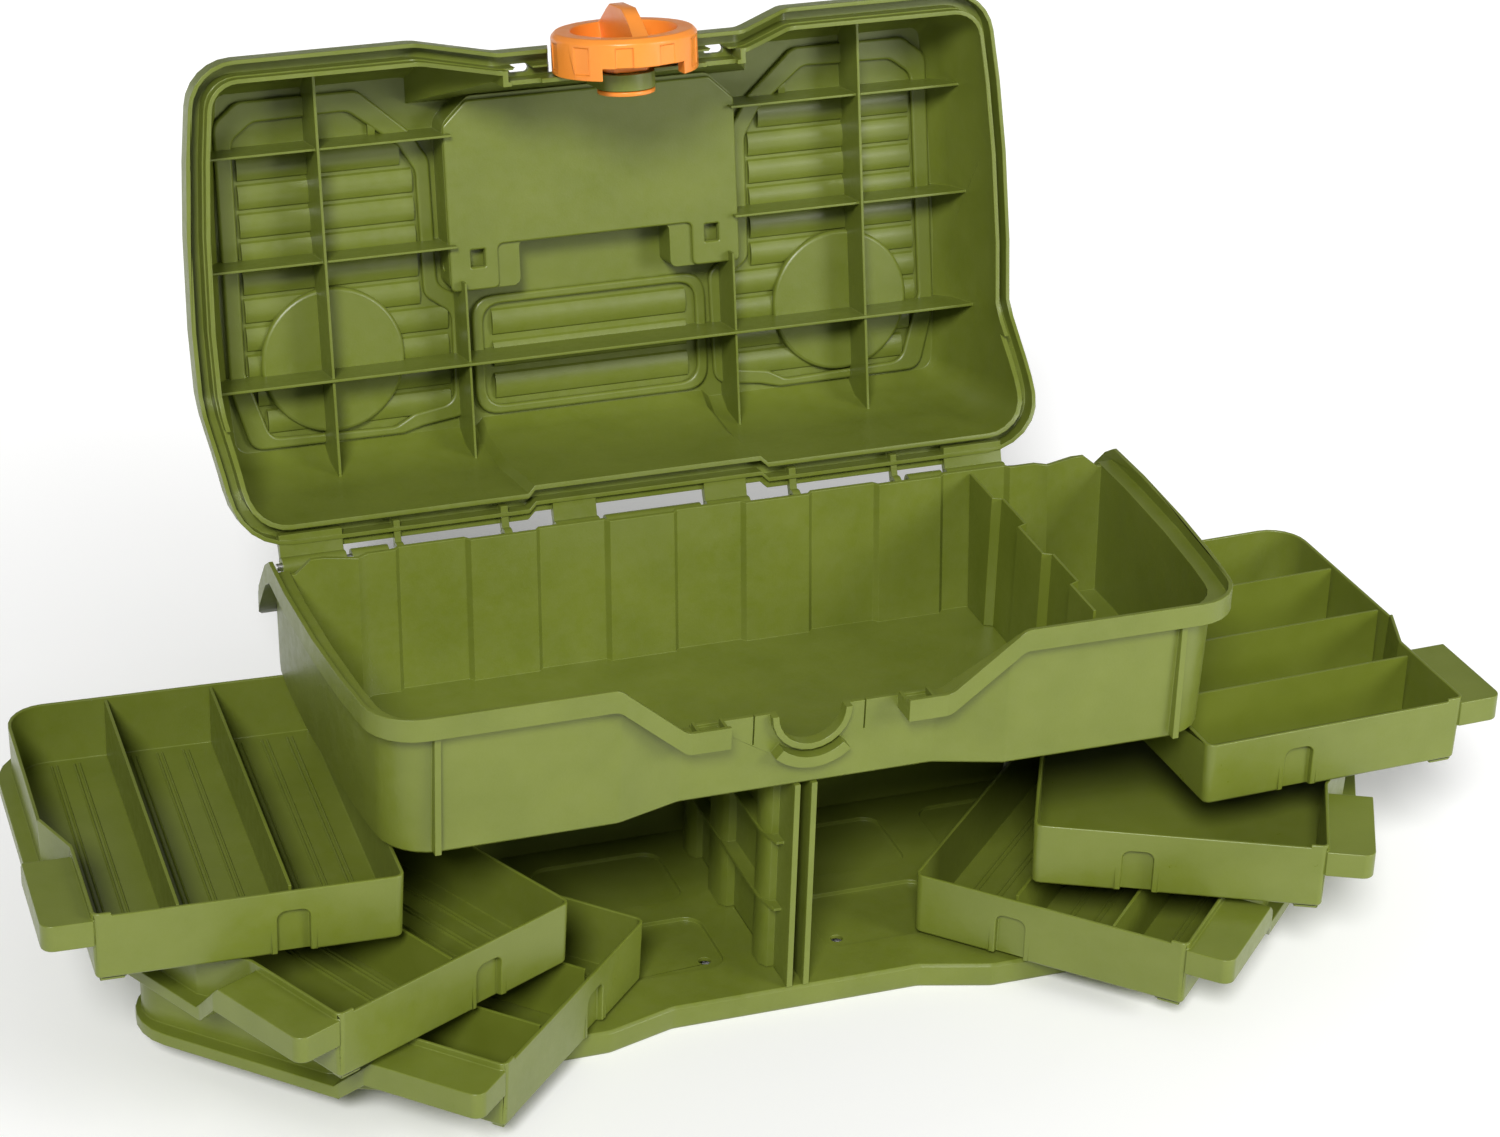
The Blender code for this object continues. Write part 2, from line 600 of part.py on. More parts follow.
def lid():
    """Lid with its double-lipped rim, inner ribs, handle recess, padlock eyes and hinge eyes."""
    shell = lid_form(0.0)
    profile = [(0.1300, LID_INSET + WALL), (0.2200, 0.0114), (0.2540, 0.0185), (LID_TOP - WALL, 0.0260)]
    cut(shell, loft([(height, lid_outline(distance)) for height, distance in profile]))
    facets = [(-0.0670, 0.1600), (0.0670, 0.1600), (0.0670, 0.1900), (0.0975, 0.2650), (-0.0975, 0.2650),
              (-0.0670, 0.1900)]
    add(shell, keep(keep(prism(facets, -0.1260, -0.0700, "Y"), slope_space(WALL)), lid_form(0.0002)))
    opening = [(-0.0640, 0.1940), (0.0640, 0.1940), (0.0950, 0.2760), (-0.0950, 0.2760)]
    cut(shell, keep(prism(opening, -0.2, -0.0700, "Y"), slope_space(0.0)))
    cut(shell, box(-0.0640, 0.0640, -0.1206, WALL_RECESS, 0.1500, 0.1900))

    for rib in lid_ribs() + [handle_block()]:
        add(shell, keep(rib, lid_form(0.0010)))
    for tool in handle_pockets():
        cut(shell, tool)

    cut(shell, rim_space(-LIP_DROP), rear_space(0.0004))
    cut(shell, keep(rim_space(0.0004), box(-0.0630, 0.0630, -0.2, -0.0950, 0.0, 0.4)))
    cut(shell, *both_sides(box(0.0405, CLIP_OUTER + GAP, WALL_RECESS - 0.0010, WALL_RECESS + WALL + 0.0006,
                               0.15, RIM_LOW - 0.0021)))
    rear_lip = ring(lid_outline(-REAR_LIP), lid_outline(0.0010), RIM_BACK + 0.0035, RIM_BACK + 0.0078)
    add(shell, lid_band(), keep(rear_lip, box(-0.1950, 0.1950, 0.1085, 0.2, 0.1, 0.3)))

    knob_bay = prism(circle(KNOB_RADIUS + 0.0022, 32, (0, KNOB_Z)), -0.2, WALL_RECESS - 0.0002, "Y")
    cut(shell, knob_bay)
    cut(shell, box(-KNOB_RADIUS - 0.0022, KNOB_RADIUS + 0.0022, -0.2, -0.1070, 0.1, KNOB_Z + 0.0055))
    add(shell, box(-0.0455, 0.0455, WALL_RECESS, WALL_RECESS + WALL, CENTRE_TOP + 0.0004, 0.1900))
    add(shell, tongue())
    cut(shell, cylinder(SHAFT_RADIUS + GAP, -0.2, -0.09, (0, KNOB_Z), "Y"))
    slot = rounded(box_outline(0.0485, 0.0595, -0.1190, -0.1145), [0.0022] * 4)
    cut(shell, *both_sides(prism(slot, 0.17, 0.22)))
    for low, high in ((0.1705, 0.2050), (0.1390, 0.1430), (0.0795, 0.0840), (0.0305, 0.0550)):
        add(shell, *both_sides(knuckle(low, high, on_lid=True)))
    cut(shell, cylinder(ROD_RADIUS + GAP, -0.3, 0.3, (HINGE_Y, HINGE_Z), "X", 12))
    return shell


def lid_ribs():
    """Thin ribs inside the lid, which hang from its top to different heights."""
    top = LID_TOP - 0.0010
    ribs = [box(-0.226, 0.226, 0.0487, 0.0503, 0.2330, top)]
    for y in (-0.0762, -0.0154):
        ribs += both_sides(box(0.0795, 0.2200, y, y + 0.0014, 0.2380, top))
    ribs += both_sides(box(0.1525, 0.1541, -0.1170, 0.1120, 0.2350, top))
    ribs += both_sides(box(0.0760, 0.0774, 0.0050, 0.1120, 0.2360, top))
    return ribs


def lid_band():
    """Outer lip of the lid with the channel between it and the lid's wall."""
    band = ring(lid_outline(0.0), lid_outline(LID_INSET + 0.0012), 0.13, 0.24)
    cut(band, rim_space(0.0004))
    keep(band, rim_space(BAND_HEIGHT + 0.0004))
    channel = ring(lid_outline(LIP_WALL), lid_outline(LID_INSET), 0.12, 0.25)
    keep(channel, rim_space(LID_CHANNEL))
    return cut(band, channel)


def tongue():
    """Rounded tongue of the lid that carries the knob and drops into the deck's notch."""
    arc = [(TONGUE_RADIUS * math.cos(a), KNOB_Z + TONGUE_RADIUS * math.sin(a))
           for a in (math.pi + math.pi * step / 16 for step in range(17))]
    outline = arc + [(TONGUE_RADIUS, 0.1960), (-TONGUE_RADIUS, 0.1960)]
    return prism(outline, WALL_RECESS - 0.0002, WALL_RECESS + 0.0085, "Y")


def handle_block():
    """Inside of the handle recess: a raised block with two legs."""
    right = [(0.0430, -0.0130), (0.0430, 0.0112), (0.0830, 0.0112), (0.0830, -0.0810), (0.0680, -0.0950)]
    radii = [0.003, 0.004, 0.006, 0.010, 0.006]
    left = [(-x, y) for x, y in reversed(right)]
    outline = rounded(right + left, radii + radii[::-1])
    return prism(outline, HANDLE_BLOCK_LOW, LID_TOP - 0.0010)


def handle_pockets():
    """Outside recess for the folded handle and its two side legs, and the pin windows."""
    right = [(0.0460, -0.0155), (0.0460, 0.0086), (0.0805, 0.0086), (0.0805, -0.0780), (0.0680, -0.0890)]
    radii = [0.003, 0.003, 0.005, 0.009, 0.005]
    left = [(-x, y) for x, y in reversed(right)]
    outline = rounded(right + left, radii + radii[::-1])
    recess = prism(outline, HANDLE_BLOCK_LOW + WALL, 0.30)
    windows = both_sides(box(0.0630, 0.0710, -0.0112, -0.0015, 0.23, 0.26))
    bores = both_sides(cylinder(HANDLE_PIN + GAP, 0.0790, 0.0840, (HANDLE_Y, HANDLE_Z), "X", 16))
    return (recess,) + windows + bores


def handle():
    """Carrying handle, a bow that folds flat into the lid's recess."""
    points = [(0.0742, 0.0040), (0.0600, 0.0040), (0.0600, -0.0560), (-0.0600, -0.0560),
              (-0.0600, 0.0040), (-0.0742, 0.0040), (-0.0742, -0.0750), (0.0742, -0.0750)]
    outline = rounded(points, [0.003, 0.003, 0.010, 0.010, 0.003, 0.003, 0.014, 0.014])
    half = HANDLE_HALF
    bow = loft([(HANDLE_Z - half, inset(outline, 0.0012)), (HANDLE_Z - half + 0.0016, outline),
                (HANDLE_Z + half - 0.0016, outline), (HANDLE_Z + half, inset(outline, 0.0012))])
    for solid in both_sides(cylinder(HANDLE_PIN, 0.0730, 0.0825, (HANDLE_Y, HANDLE_Z), "X", 16)):
        add(bow, solid)
    return bow


# ---------------------------------------------------------------- knob
def knob_disc(radius, low, high, steps=48):
    return cylinder(radius, low, high, (0, KNOB_Z), "Y", steps)


def knob():
    """Round rotary latch: a ring with a skirt, a cross grip and a shaft."""
    front = KNOB_BACK - KNOB_DEPTH
    seat = front + 0.0085
    body = loft([(0.0, circle(KNOB_RADIUS - 0.0022, 48)), (0.0024, circle(KNOB_RADIUS, 48)),
                 (KNOB_DEPTH, circle(KNOB_RADIUS, 48))])
    bowl = loft([(-0.001, circle(0.0286, 48)), (0.0006, circle(0.0282, 48)), (0.0085, circle(0.0262, 48))])
    skirt = prism(circle(KNOB_INNER, 48), 0.0110, KNOB_DEPTH + 0.001)
    cut(body, bowl, skirt)
    body.data.transform(Matrix.Translation((0, front, KNOB_Z)) @ Matrix.Rotation(-math.pi / 2, 4, "X"))
    clean(body)
    add(body, knob_disc(0.0130, seat + 0.0010, WALL_RECESS - 0.0006, 24))
    add(body, knob_disc(SHAFT_RADIUS, seat + 0.0010, RETAINER_BACK, 24))
    grip = [(front + 0.0015, -0.0320), (front + 0.0095, -0.0320), (front + 0.0095, 0.0320),
            (front + 0.0015, 0.0320), (front - 0.0085, 0.0165), (front - 0.0120, 0.0100),
            (front - 0.0120, -0.0100), (front - 0.0085, -0.0165)]
    grip = [(y, z + KNOB_Z) for y, z in grip]
    add(body, prism(grip, -0.0042, 0.0042, "X"))
    for number in range(KNOB_PANELS):
        panel = box(-0.0046, 0.0046, front + 0.0045, KNOB_BACK - 0.0030,
                    KNOB_RADIUS - 0.0009, KNOB_RADIUS + 0.01)
        turn = Matrix.Rotation(2 * math.pi * (number + 0.5) / KNOB_PANELS, 4, "Y")
        panel.data.transform(Matrix.Translation((0, 0, KNOB_Z)) @ turn)
        cut(body, panel)
    cut(body, box(-0.0222, 0.0222, KNOB_BACK - CATCH_DEPTH - 0.0004, KNOB_BACK + 0.01, 0.10, KNOB_Z - 0.010))
    return body


def knob_retainer():
    """Disc behind the lid's tongue that holds the knob on."""
    disc = knob_disc(0.0153, RETAINER_BACK - 0.0024, RETAINER_BACK, 32)
    return cut(disc, knob_disc(SHAFT_RADIUS + GAP, -0.2, 0.0, 24))


# ---------------------------------------------------------------- trays
def tray(top):
    """Right-hand tray in its closed place: shell, fascia band with handle, notch and pivot hub."""
    bottom = top - TRAY_HEIGHT
    outline = tray_outline()
    high = top + TRAY_RAISE
    shell = loft([(bottom, inset(outline, 0.0022)), (bottom + 0.0012, inset(outline, TRAY_DRAFT)),
                  (high, outline)])
    cut(shell, loft([(bottom + TRAY_FLOOR, inset(outline, TRAY_DRAFT + TRAY_WALL)),
                     (high + 0.001, inset(outline, TRAY_WALL))]))
    cut(shell, box(-0.01, 0.25, TRAY_RECESS + 0.0095, 0.06, top, high + 0.01),
        box(TRAY_WING_START, 0.25, -0.20, 0.06, top, high + 0.01))
    add(shell, box(TRAY_INNER + 0.0025, TRAY_INNER + 0.0090, TRAY_RECESS + 0.0030, TRAY_RECESS + 0.0150,
                   bottom - 0.0018, bottom + 0.0010))
    add(shell, fascia(top))
    add(shell, box(TRAY_INNER + 0.0006, NOTCH_BACK, NOTCH_FRONT, NOTCH_REAR, bottom + 0.0006, top - 0.0085))
    arch = rounded([(-0.0195, bottom - 0.01), (-0.0035, bottom - 0.01), (-0.0035, top - 0.0110),
                    (-0.0195, top - 0.0110)], [0, 0, 0.0045, 0.0045])
    cut(shell, prism(arch, 0.010, 0.0185, "X"))
    add(shell, box(PIVOT_X - 0.0050, PIVOT_X + 0.0050, TRAY_REAR - 0.0012, PIVOT_Y,
                   bottom + 0.0004, top - 0.0004))
    centre = (PIVOT_X, PIVOT_Y)
    add(shell, cylinder(HUB_RADIUS, bottom, top, centre))
    return cut(shell, cylinder(PIVOT_ROD + GAP, bottom - 0.01, top + 0.01, centre))


def fascia(top):
    """Front band of a tray: a handle by the middle that steps down to a lip round the outer corner."""
    face = [(0.0, top + PULL_LOW), (0.0785, top + PULL_LOW), (0.0960, top + LIP_LOW),
            (0.2300, top + LIP_LOW), (0.2300, top + LIP_TOP), (0.0987, top + LIP_TOP),
            (0.0745, top + PULL_TOP), (0.0, top + PULL_TOP)]
    inner = TRAY_INNER + 0.0004
    plan = [(inner, PULL_FRONT), (0.0785, PULL_FRONT), (0.0960, LIP_FRONT), (LIP_SIDE, LIP_FRONT),
            (LIP_SIDE, -0.0720), (TRAY_OUTER - 0.0016, -0.0690), (TRAY_OUTER - 0.0016, TRAY_WING + 0.0010),
            (TRAY_WING_START - 0.0004, TRAY_WING + 0.0012),
            (TRAY_RECESS_END - 0.0004, TRAY_RECESS + 0.0012), (inner, TRAY_RECESS + 0.0012)]
    radii = [0.006, 0.006, 0.006, 0.030, 0.002, 0, 0.0185, 0, 0, 0]
    band = prism(rounded(plan, radii), top - 0.06, top + 0.01)
    return keep(band, prism(face, -0.14, -0.05, "Y"))


def cross_dividers(top, places):
    """Plates that stand across a tray; those beside the notch end at its box."""
    low = top - TRAY_HEIGHT + TRAY_FLOOR + GAP
    side_room = TRAY_DRAFT + TRAY_WALL + GAP
    plates = []
    for y in places:
        start = NOTCH_BACK + GAP if y > NOTCH_FRONT else TRAY_INNER + side_room
        plates.append(box(start, TRAY_OUTER - side_room, y, y + DIVIDER, low, top - DIVIDER_DROP))
    return plates


def lengthwise_dividers(top):
    """Three plates that run from the front to the rear of a tray."""
    low = top - TRAY_HEIGHT + TRAY_FLOOR + GAP
    side_room = TRAY_DRAFT + TRAY_WALL + GAP
    plates = []
    for x, front in ((0.0660, TRAY_RECESS), (0.1165, TRAY_WING), (0.1675, TRAY_WING)):
        plates.append(box(x, x + DIVIDER, front + side_room, TRAY_REAR - side_room, low, top - DIVIDER_DROP))
    return plates


def place_on_pivot(piece, side_name, level):
    """Turn a closed piece out to its open angle about the pivot of its side."""
    side = SIDES[side_name]
    if side < 0:
        twin = mirrored(piece)
        bpy.data.objects.remove(piece)
        piece = twin
    return piece, (side * PIVOT_X, PIVOT_Y, 0.0), math.radians(side * TRAY_ANGLES[level])


def build_trays():
    for level, top in TRAY_TOPS.items():
        for side_name in SIDES:
            pieces = {f"tray_{level}_{side_name}": tray(top)}
            if (level, side_name) == ("top", "right"):
                plates = lengthwise_dividers(top)
            elif (level, side_name) == ("middle", "right"):
                plates = []
            elif (level, side_name) == ("middle", "left"):
                plates = cross_dividers(top, (-0.0348,))
            else:
                plates = cross_dividers(top, (-0.0668, -0.0128))
            for number, plate in enumerate(plates):
                pieces[f"divider_{level}_{side_name}_{number + 1}"] = plate
            for name, piece in pieces.items():
                piece, origin, angle = place_on_pivot(piece, side_name, level)
                finish(name, piece, origin=origin).rotation_euler.z = angle


def build_lid():
    """Lid, handle and knob, modelled closed and turned about the hinge to the open pose."""
    hinge = bpy.data.objects.new("lid_axis", None)
    hinge.location = (0, HINGE_Y, HINGE_Z)
    bpy.data.collections["tackle_box"].objects.link(hinge)
    knob_origin = (0, KNOB_BACK, KNOB_Z)
    pieces = [finish("lid", lid(), origin=(0, HINGE_Y, HINGE_Z)),
              finish("handle", handle(), origin=(0, HANDLE_Y, HANDLE_Z)),
              finish("knob", knob(), ORANGE, 0.4, origin=knob_origin),
              finish("knob_retainer", knob_retainer(), ORANGE, 0.4, origin=knob_origin)]
    for piece in pieces:
        piece.parent = hinge
        piece.location -= hinge.location
    hinge.rotation_euler.x = -math.radians(LID_ANGLE)


def build():
    for leftover in list(bpy.data.objects):
        bpy.data.objects.remove(leftover)
    home = bpy.data.collections.new("tackle_box")
    bpy.context.scene.collection.children.link(home)
    base_plate()
    rear_housing()
    for side_name in SIDES:
        column(side_name)
        pivot_rod(side_name)
    deck()
    deck_divider()
    hinge_rod()
    build_trays()
    build_lid()
    bpy.context.view_layer.update()


build()
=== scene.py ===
"""Looks of the six-tray tackle box: plastic and steel finishes, lid relief, tray ribs and studio."""

import json
import math

import bmesh
import bpy
from mathutils import Matrix, Vector


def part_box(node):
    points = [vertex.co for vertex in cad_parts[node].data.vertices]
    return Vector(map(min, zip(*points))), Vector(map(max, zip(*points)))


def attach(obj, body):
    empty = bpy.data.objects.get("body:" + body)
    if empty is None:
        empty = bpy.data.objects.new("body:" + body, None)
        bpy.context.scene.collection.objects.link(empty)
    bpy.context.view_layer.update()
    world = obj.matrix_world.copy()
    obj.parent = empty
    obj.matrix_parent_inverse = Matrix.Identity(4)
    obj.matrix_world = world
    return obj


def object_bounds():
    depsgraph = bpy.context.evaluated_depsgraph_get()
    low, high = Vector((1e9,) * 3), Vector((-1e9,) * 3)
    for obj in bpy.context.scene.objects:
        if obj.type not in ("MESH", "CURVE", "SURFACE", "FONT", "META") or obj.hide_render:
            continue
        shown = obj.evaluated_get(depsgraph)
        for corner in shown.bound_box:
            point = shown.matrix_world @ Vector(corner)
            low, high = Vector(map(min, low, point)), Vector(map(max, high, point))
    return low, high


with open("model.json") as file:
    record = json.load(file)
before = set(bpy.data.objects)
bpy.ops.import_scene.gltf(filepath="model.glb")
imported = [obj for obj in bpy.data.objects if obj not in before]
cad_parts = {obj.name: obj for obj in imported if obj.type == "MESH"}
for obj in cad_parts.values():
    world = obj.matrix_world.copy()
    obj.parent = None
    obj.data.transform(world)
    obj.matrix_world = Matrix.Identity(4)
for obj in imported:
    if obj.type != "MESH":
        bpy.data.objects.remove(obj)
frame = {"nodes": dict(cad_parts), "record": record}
cad_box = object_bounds()

JOINTS = {joint["name"]: joint for joint in frame["record"]["behaviour"]["joints"]}
SIDES = {"left": -1.0, "right": 1.0}

# ---------------------------------------------------------------- colours (linear)
OLIVE = (0.130, 0.161, 0.016)
OLIVE_PALE = (0.158, 0.190, 0.026)
OLIVE_DEEP = (0.110, 0.139, 0.011)
ORANGE = (0.80, 0.235, 0.024)
ORANGE_PALE = (0.86, 0.300, 0.045)
DUST = (0.40, 0.40, 0.30)
STEEL = (0.50, 0.50, 0.51)
STEEL_STAINED = (0.62, 0.61, 0.59)
FLOOR_WHITE = (0.90, 0.90, 0.895)
FLOOR_PALE = (0.92, 0.92, 0.915)

# ---------------------------------------------------------------- pattern scales (features per metre)
FLOW_SCALE = 9.0             # slow colour drift where the melt flowed
CLOUD_SCALE = 34.0           # soft cloudiness of the skin
SCUFF_SCALE = 120.0          # handling scuffs
SPECK_SCALE = 900.0          # fine grain of the mould
DRAWN_SCALE = 700.0          # fine marks on drawn steel
STAIN_SCALE = 25.0
PAPER_SCALE = 1.3            # faint cloudiness of the studio floor

# ---------------------------------------------------------------- studio (metres, watts)
FLOOR_HALF = 8.0
FLOOR_GLOW = 0.28            # lifts the sweep to an even white, as on a lit table
GLOW_START = 0.22            # distance from the middle where the glow begins
GLOW_FULL = 0.75             # and where it is full
FLOOR_GAP = 0.0002           # keeps the floor just under the box
SKY_STRENGTH = 0.24

# ---------------------------------------------------------------- moulded edges (metres)
SAME_POINT = 0.00001         # corners closer than this are one corner
EDGE_SOFTNESS = 0.0006       # radius of the moulded edges of trays and knob
FINE_SOFTNESS = 0.0003       # and of the shells, rods and dividers
SMOOTH_ANGLE = 34.0          # degrees; flatter creases are shaded round
BEVEL_ANGLE = 38.0           # degrees; sharper creases get a rounded edge
FLAT_ANGLE = 0.4             # degrees; faces flatter than this to each other are one face

# ---------------------------------------------------------------- lid relief (metres, lid closed)
CEILING = 0.2636             # inside of the closed lid's top
RELIEF = 0.0034              # how far the raised borders stand down from the ceiling
SUNK = 0.0003                # how far the borders reach up into the lid
BORDER_EDGE = 0.0014
PANEL = [(0.130, -0.090), (0.182, -0.089), (0.194, -0.080), (0.1955, 0.0465), (0.184, 0.084),
         (0.114, 0.086), (0.103, 0.080), (0.080, 0.0765), (0.079, 0.026), (0.094, 0.015),
         (0.0945, -0.054), (0.1035, -0.069)]
PANEL_CORNER = 0.009
BORDER = [(0.124, -0.1010), (0.190, -0.1010), (0.2035, -0.0900), (0.2045, 0.0560), (0.1950, 0.0900),
          (0.1100, 0.0905), (0.0985, 0.0875), (0.0710, 0.0840), (0.0700, 0.0190), (0.0860, 0.0100),
          (0.0865, -0.0600), (0.0960, -0.0760)]
BORDER_CORNER = 0.010
RIDGE_COUNT = 11
RIDGE_START = -0.0800
RIDGE_PITCH = 0.0155
RIDGE_WIDTH = 0.0140
RIDGE_HEIGHT = 0.0032
RIDGE_SUNK = 0.0001
RIDGE_END_GAP = 0.0020
PAD_CENTRE = (0.147, 0.044)
PAD_RADIUS = 0.040
PAD_DROP = 0.0022            # how far the round pads stand below the borders
PAD_EDGE = 0.0020
CENTRE_PANEL = [(-0.0615, 0.0240), (0.0615, 0.0240), (0.0615, 0.0810), (-0.0615, 0.0810)]
CENTRE_PANEL_CORNER = 0.011
CENTRE_BORDER_CORNER = 0.014
CENTRE_BORDER_WIDEN = 1.10
CENTRE_BORDER_DEEPEN = 0.0050
CENTRE_MIDDLE_Y = 0.05
CENTRE_RIDGE_HALF = 0.0560
CENTRE_RIDGE_WIDTH = 0.0150
CENTRE_RIDGE_ROWS = (0.0345, 0.0525, 0.0705)
BLOCK_RIGHT = [(0.0430, -0.0130), (0.0555, -0.0130), (0.0555, 0.0110), (0.0828, 0.0110),
               (0.0828, -0.0800), (0.0690, -0.0930)]
BLOCK_LOW = 0.2450           # underside of the block round the handle recess
BLOCK_FACE_DROP = 0.0022
BLOCK_FACE_SUNK = 0.0002
BLOCK_FACE_EDGE = 0.0011
BLOCK_CORNER = 0.0035
WINDOW = [(0.0630, -0.0112), (0.0710, -0.0112), (0.0710, -0.0015), (0.0630, -0.0015)]
WINDOW_CORNER = 0.0008

# ---------------------------------------------------------------- tray ribs (metres, trays closed)
TRAY_HEIGHT = 0.0350
TRAY_FLOOR = 0.0018
TRAY_RAISE = 0.0016          # extra height of the wall behind a tray's pull
RIB_WIDTH = 0.0012
RIB_PAIR_ROWS = (-0.0945, -0.0830, -0.0535, -0.0405, -0.0270, 0.0010, 0.0140, 0.0270)
RIB_PAIR_SHIFT = 0.0013
RIB_PAIR_SPAN = (0.0230, 0.2130)
RIB_PAIR_HEIGHT = 0.0011
SLOT_RIB_COUNT = 10
SLOT_RIB_START = -0.0980
SLOT_RIB_PITCH = 0.0132
SLOT_RIB_SPAN = (0.2050, 0.2188)
SLOT_RIB_HEIGHT = 0.0130


# ---------------------------------------------------------------- materials
def new_material(name):
    material = bpy.data.materials.new(name)
    material.use_nodes = True
    tree = material.node_tree
    shader = tree.nodes["Principled BSDF"]
    return material, tree, shader


def object_space(tree):
    return tree.nodes.new("ShaderNodeTexCoord").outputs["Object"]


def noise(tree, source, scale, detail, roughness=0.5):
    node = tree.nodes.new("ShaderNodeTexNoise")
    node.inputs["Scale"].default_value = scale
    node.inputs["Detail"].default_value = detail
    node.inputs["Roughness"].default_value = roughness
    tree.links.new(source, node.inputs["Vector"])
    return node.outputs["Fac"]


def spread(tree, value, low, high):
    """A noise pattern turned into values from low to high."""
    node = tree.nodes.new("ShaderNodeMapRange")
    node.inputs["From Min"].default_value = 0.3
    node.inputs["From Max"].default_value = 0.7
    node.inputs["To Min"].default_value = low
    node.inputs["To Max"].default_value = high
    tree.links.new(value, node.inputs["Value"])
    return node.outputs["Result"]


def mix_colours(tree, factor, first, second):
    """Blends two colours; each is a tuple or the output of another node."""
    node = tree.nodes.new("ShaderNodeMix")
    node.data_type = "RGBA"
    tree.links.new(factor, node.inputs["Factor"])
    for socket, colour in ((node.inputs["A"], first), (node.inputs["B"], second)):
        if isinstance(colour, tuple):
            socket.default_value = (*colour, 1.0)
        else:
            tree.links.new(colour, socket)
    return node.outputs["Result"]


def add_bump(tree, shader, layers):
    """Bumps on top of each other; layers are (height pattern, strength, depth in metres)."""
    normal = None
    for height, strength, depth in layers:
        bump = tree.nodes.new("ShaderNodeBump")
        bump.inputs["Strength"].default_value = strength
        bump.inputs["Distance"].default_value = depth
        tree.links.new(height, bump.inputs["Height"])
        if normal is not None:
            tree.links.new(normal, bump.inputs["Normal"])
        normal = bump.outputs["Normal"]
    tree.links.new(normal, shader.inputs["Normal"])


def moulded_plastic(name, colours, roughness, grain, dust=0.0):
    """Injection-moulded plastic: flow marks in the colour, fine spark grain, handling scuffs."""
    deep, middle, pale = colours
    material, tree, shader = new_material(name)
    place = object_space(tree)
    flow = noise(tree, place, FLOW_SCALE, 4.0, 0.6)
    cloud = noise(tree, place, CLOUD_SCALE, 3.0)
    speck = noise(tree, place, SPECK_SCALE, 2.0)
    scuff = noise(tree, place, SCUFF_SCALE, 6.0, 0.75)
    base = mix_colours(tree, spread(tree, flow, 0.0, 1.0), deep, middle)
    base = mix_colours(tree, spread(tree, cloud, 0.0, 0.45), base, pale)
    base = mix_colours(tree, spread(tree, speck, 0.0, 0.10), base, pale)
    if dust:
        base = mix_colours(tree, spread(tree, scuff, 0.0, dust), base, DUST)
    tree.links.new(base, shader.inputs["Base Color"])
    polish = spread(tree, scuff, roughness - 0.07, roughness + 0.08)
    tree.links.new(polish, shader.inputs["Roughness"])
    shader.inputs["Specular IOR Level"].default_value = 0.5
    add_bump(tree, shader, [(cloud, 0.05, 0.002), (speck, grain, 0.0004), (scuff, 0.05, 0.0006)])
    return material


def drawn_steel(name):
    """Drawn steel rod: fine marks and slight discolouring."""
    material, tree, shader = new_material(name)
    place = object_space(tree)
    mark = noise(tree, place, DRAWN_SCALE, 2.0)
    stain = noise(tree, place, STAIN_SCALE, 4.0)
    colour = mix_colours(tree, spread(tree, stain, 0.0, 1.0), STEEL, STEEL_STAINED)
    tree.links.new(colour, shader.inputs["Base Color"])
    shader.inputs["Metallic"].default_value = 1.0
    tree.links.new(spread(tree, mark, 0.24, 0.40), shader.inputs["Roughness"])
    add_bump(tree, shader, [(mark, 0.12, 0.0003)])
    return material


def studio_floor(name):
    """Matt white floor that glows a little away from the box."""
    material, tree, shader = new_material(name)
    place = object_space(tree)
    cloud = noise(tree, place, PAPER_SCALE, 3.0)
    colour = mix_colours(tree, spread(tree, cloud, 0.0, 1.0), FLOOR_WHITE, FLOOR_PALE)
    tree.links.new(colour, shader.inputs["Base Color"])
    shader.inputs["Roughness"].default_value = 0.85
    shader.inputs["Emission Color"].default_value = (1.0, 1.0, 1.0, 1.0)
    distance = tree.nodes.new("ShaderNodeVectorMath")
    distance.operation = "LENGTH"
    tree.links.new(place, distance.inputs[0])
    glow = tree.nodes.new("ShaderNodeMapRange")
    glow.inputs["From Min"].default_value = GLOW_START
    glow.inputs["From Max"].default_value = GLOW_FULL
    glow.inputs["To Max"].default_value = FLOOR_GLOW
    tree.links.new(distance.outputs["Value"], glow.inputs["Value"])
    tree.links.new(glow.outputs["Result"], shader.inputs["Emission Strength"])
    return material


# ---------------------------------------------------------------- shapes
def rounded_outline(points, radius, steps=6):
    """Closed outline with each corner rounded off."""
    outline = []
    count = len(points)
    for index, point in enumerate(points):
        corner = Vector(point)
        before = Vector(points[index - 1]) - corner
        after = Vector(points[(index + 1) % count]) - corner
        half = before.angle(after) / 2
        reach = min(radius / math.tan(half), before.length * 0.45, after.length * 0.45)
        start = corner + before.normalized() * reach
        end = corner + after.normalized() * reach
        for step in range(steps + 1):
            share = step / steps
            curve = start * (1 - share) ** 2 + corner * 2 * share * (1 - share) + end * share ** 2
            outline.append(tuple(curve))
    return outline


def circle_outline(centre, radius, steps=64):
    turns = [2 * math.pi * step / steps for step in range(steps)]
    return [(centre[0] + radius * math.cos(turn), centre[1] + radius * math.sin(turn)) for turn in turns]


def mirrored_outline(outline, side):
    return [(side * x, y) for x, y in outline]


def span_at(outline, y):
    """Lowest and highest X of an outline at a given Y."""
    crossings = []
    for index, (x0, y0) in enumerate(outline):
        x1, y1 = outline[(index + 1) % len(outline)]
        if (y0 - y) * (y1 - y) < 0:
            crossings.append(x0 + (x1 - x0) * (y - y0) / (y1 - y0))
    return min(crossings), max(crossings)


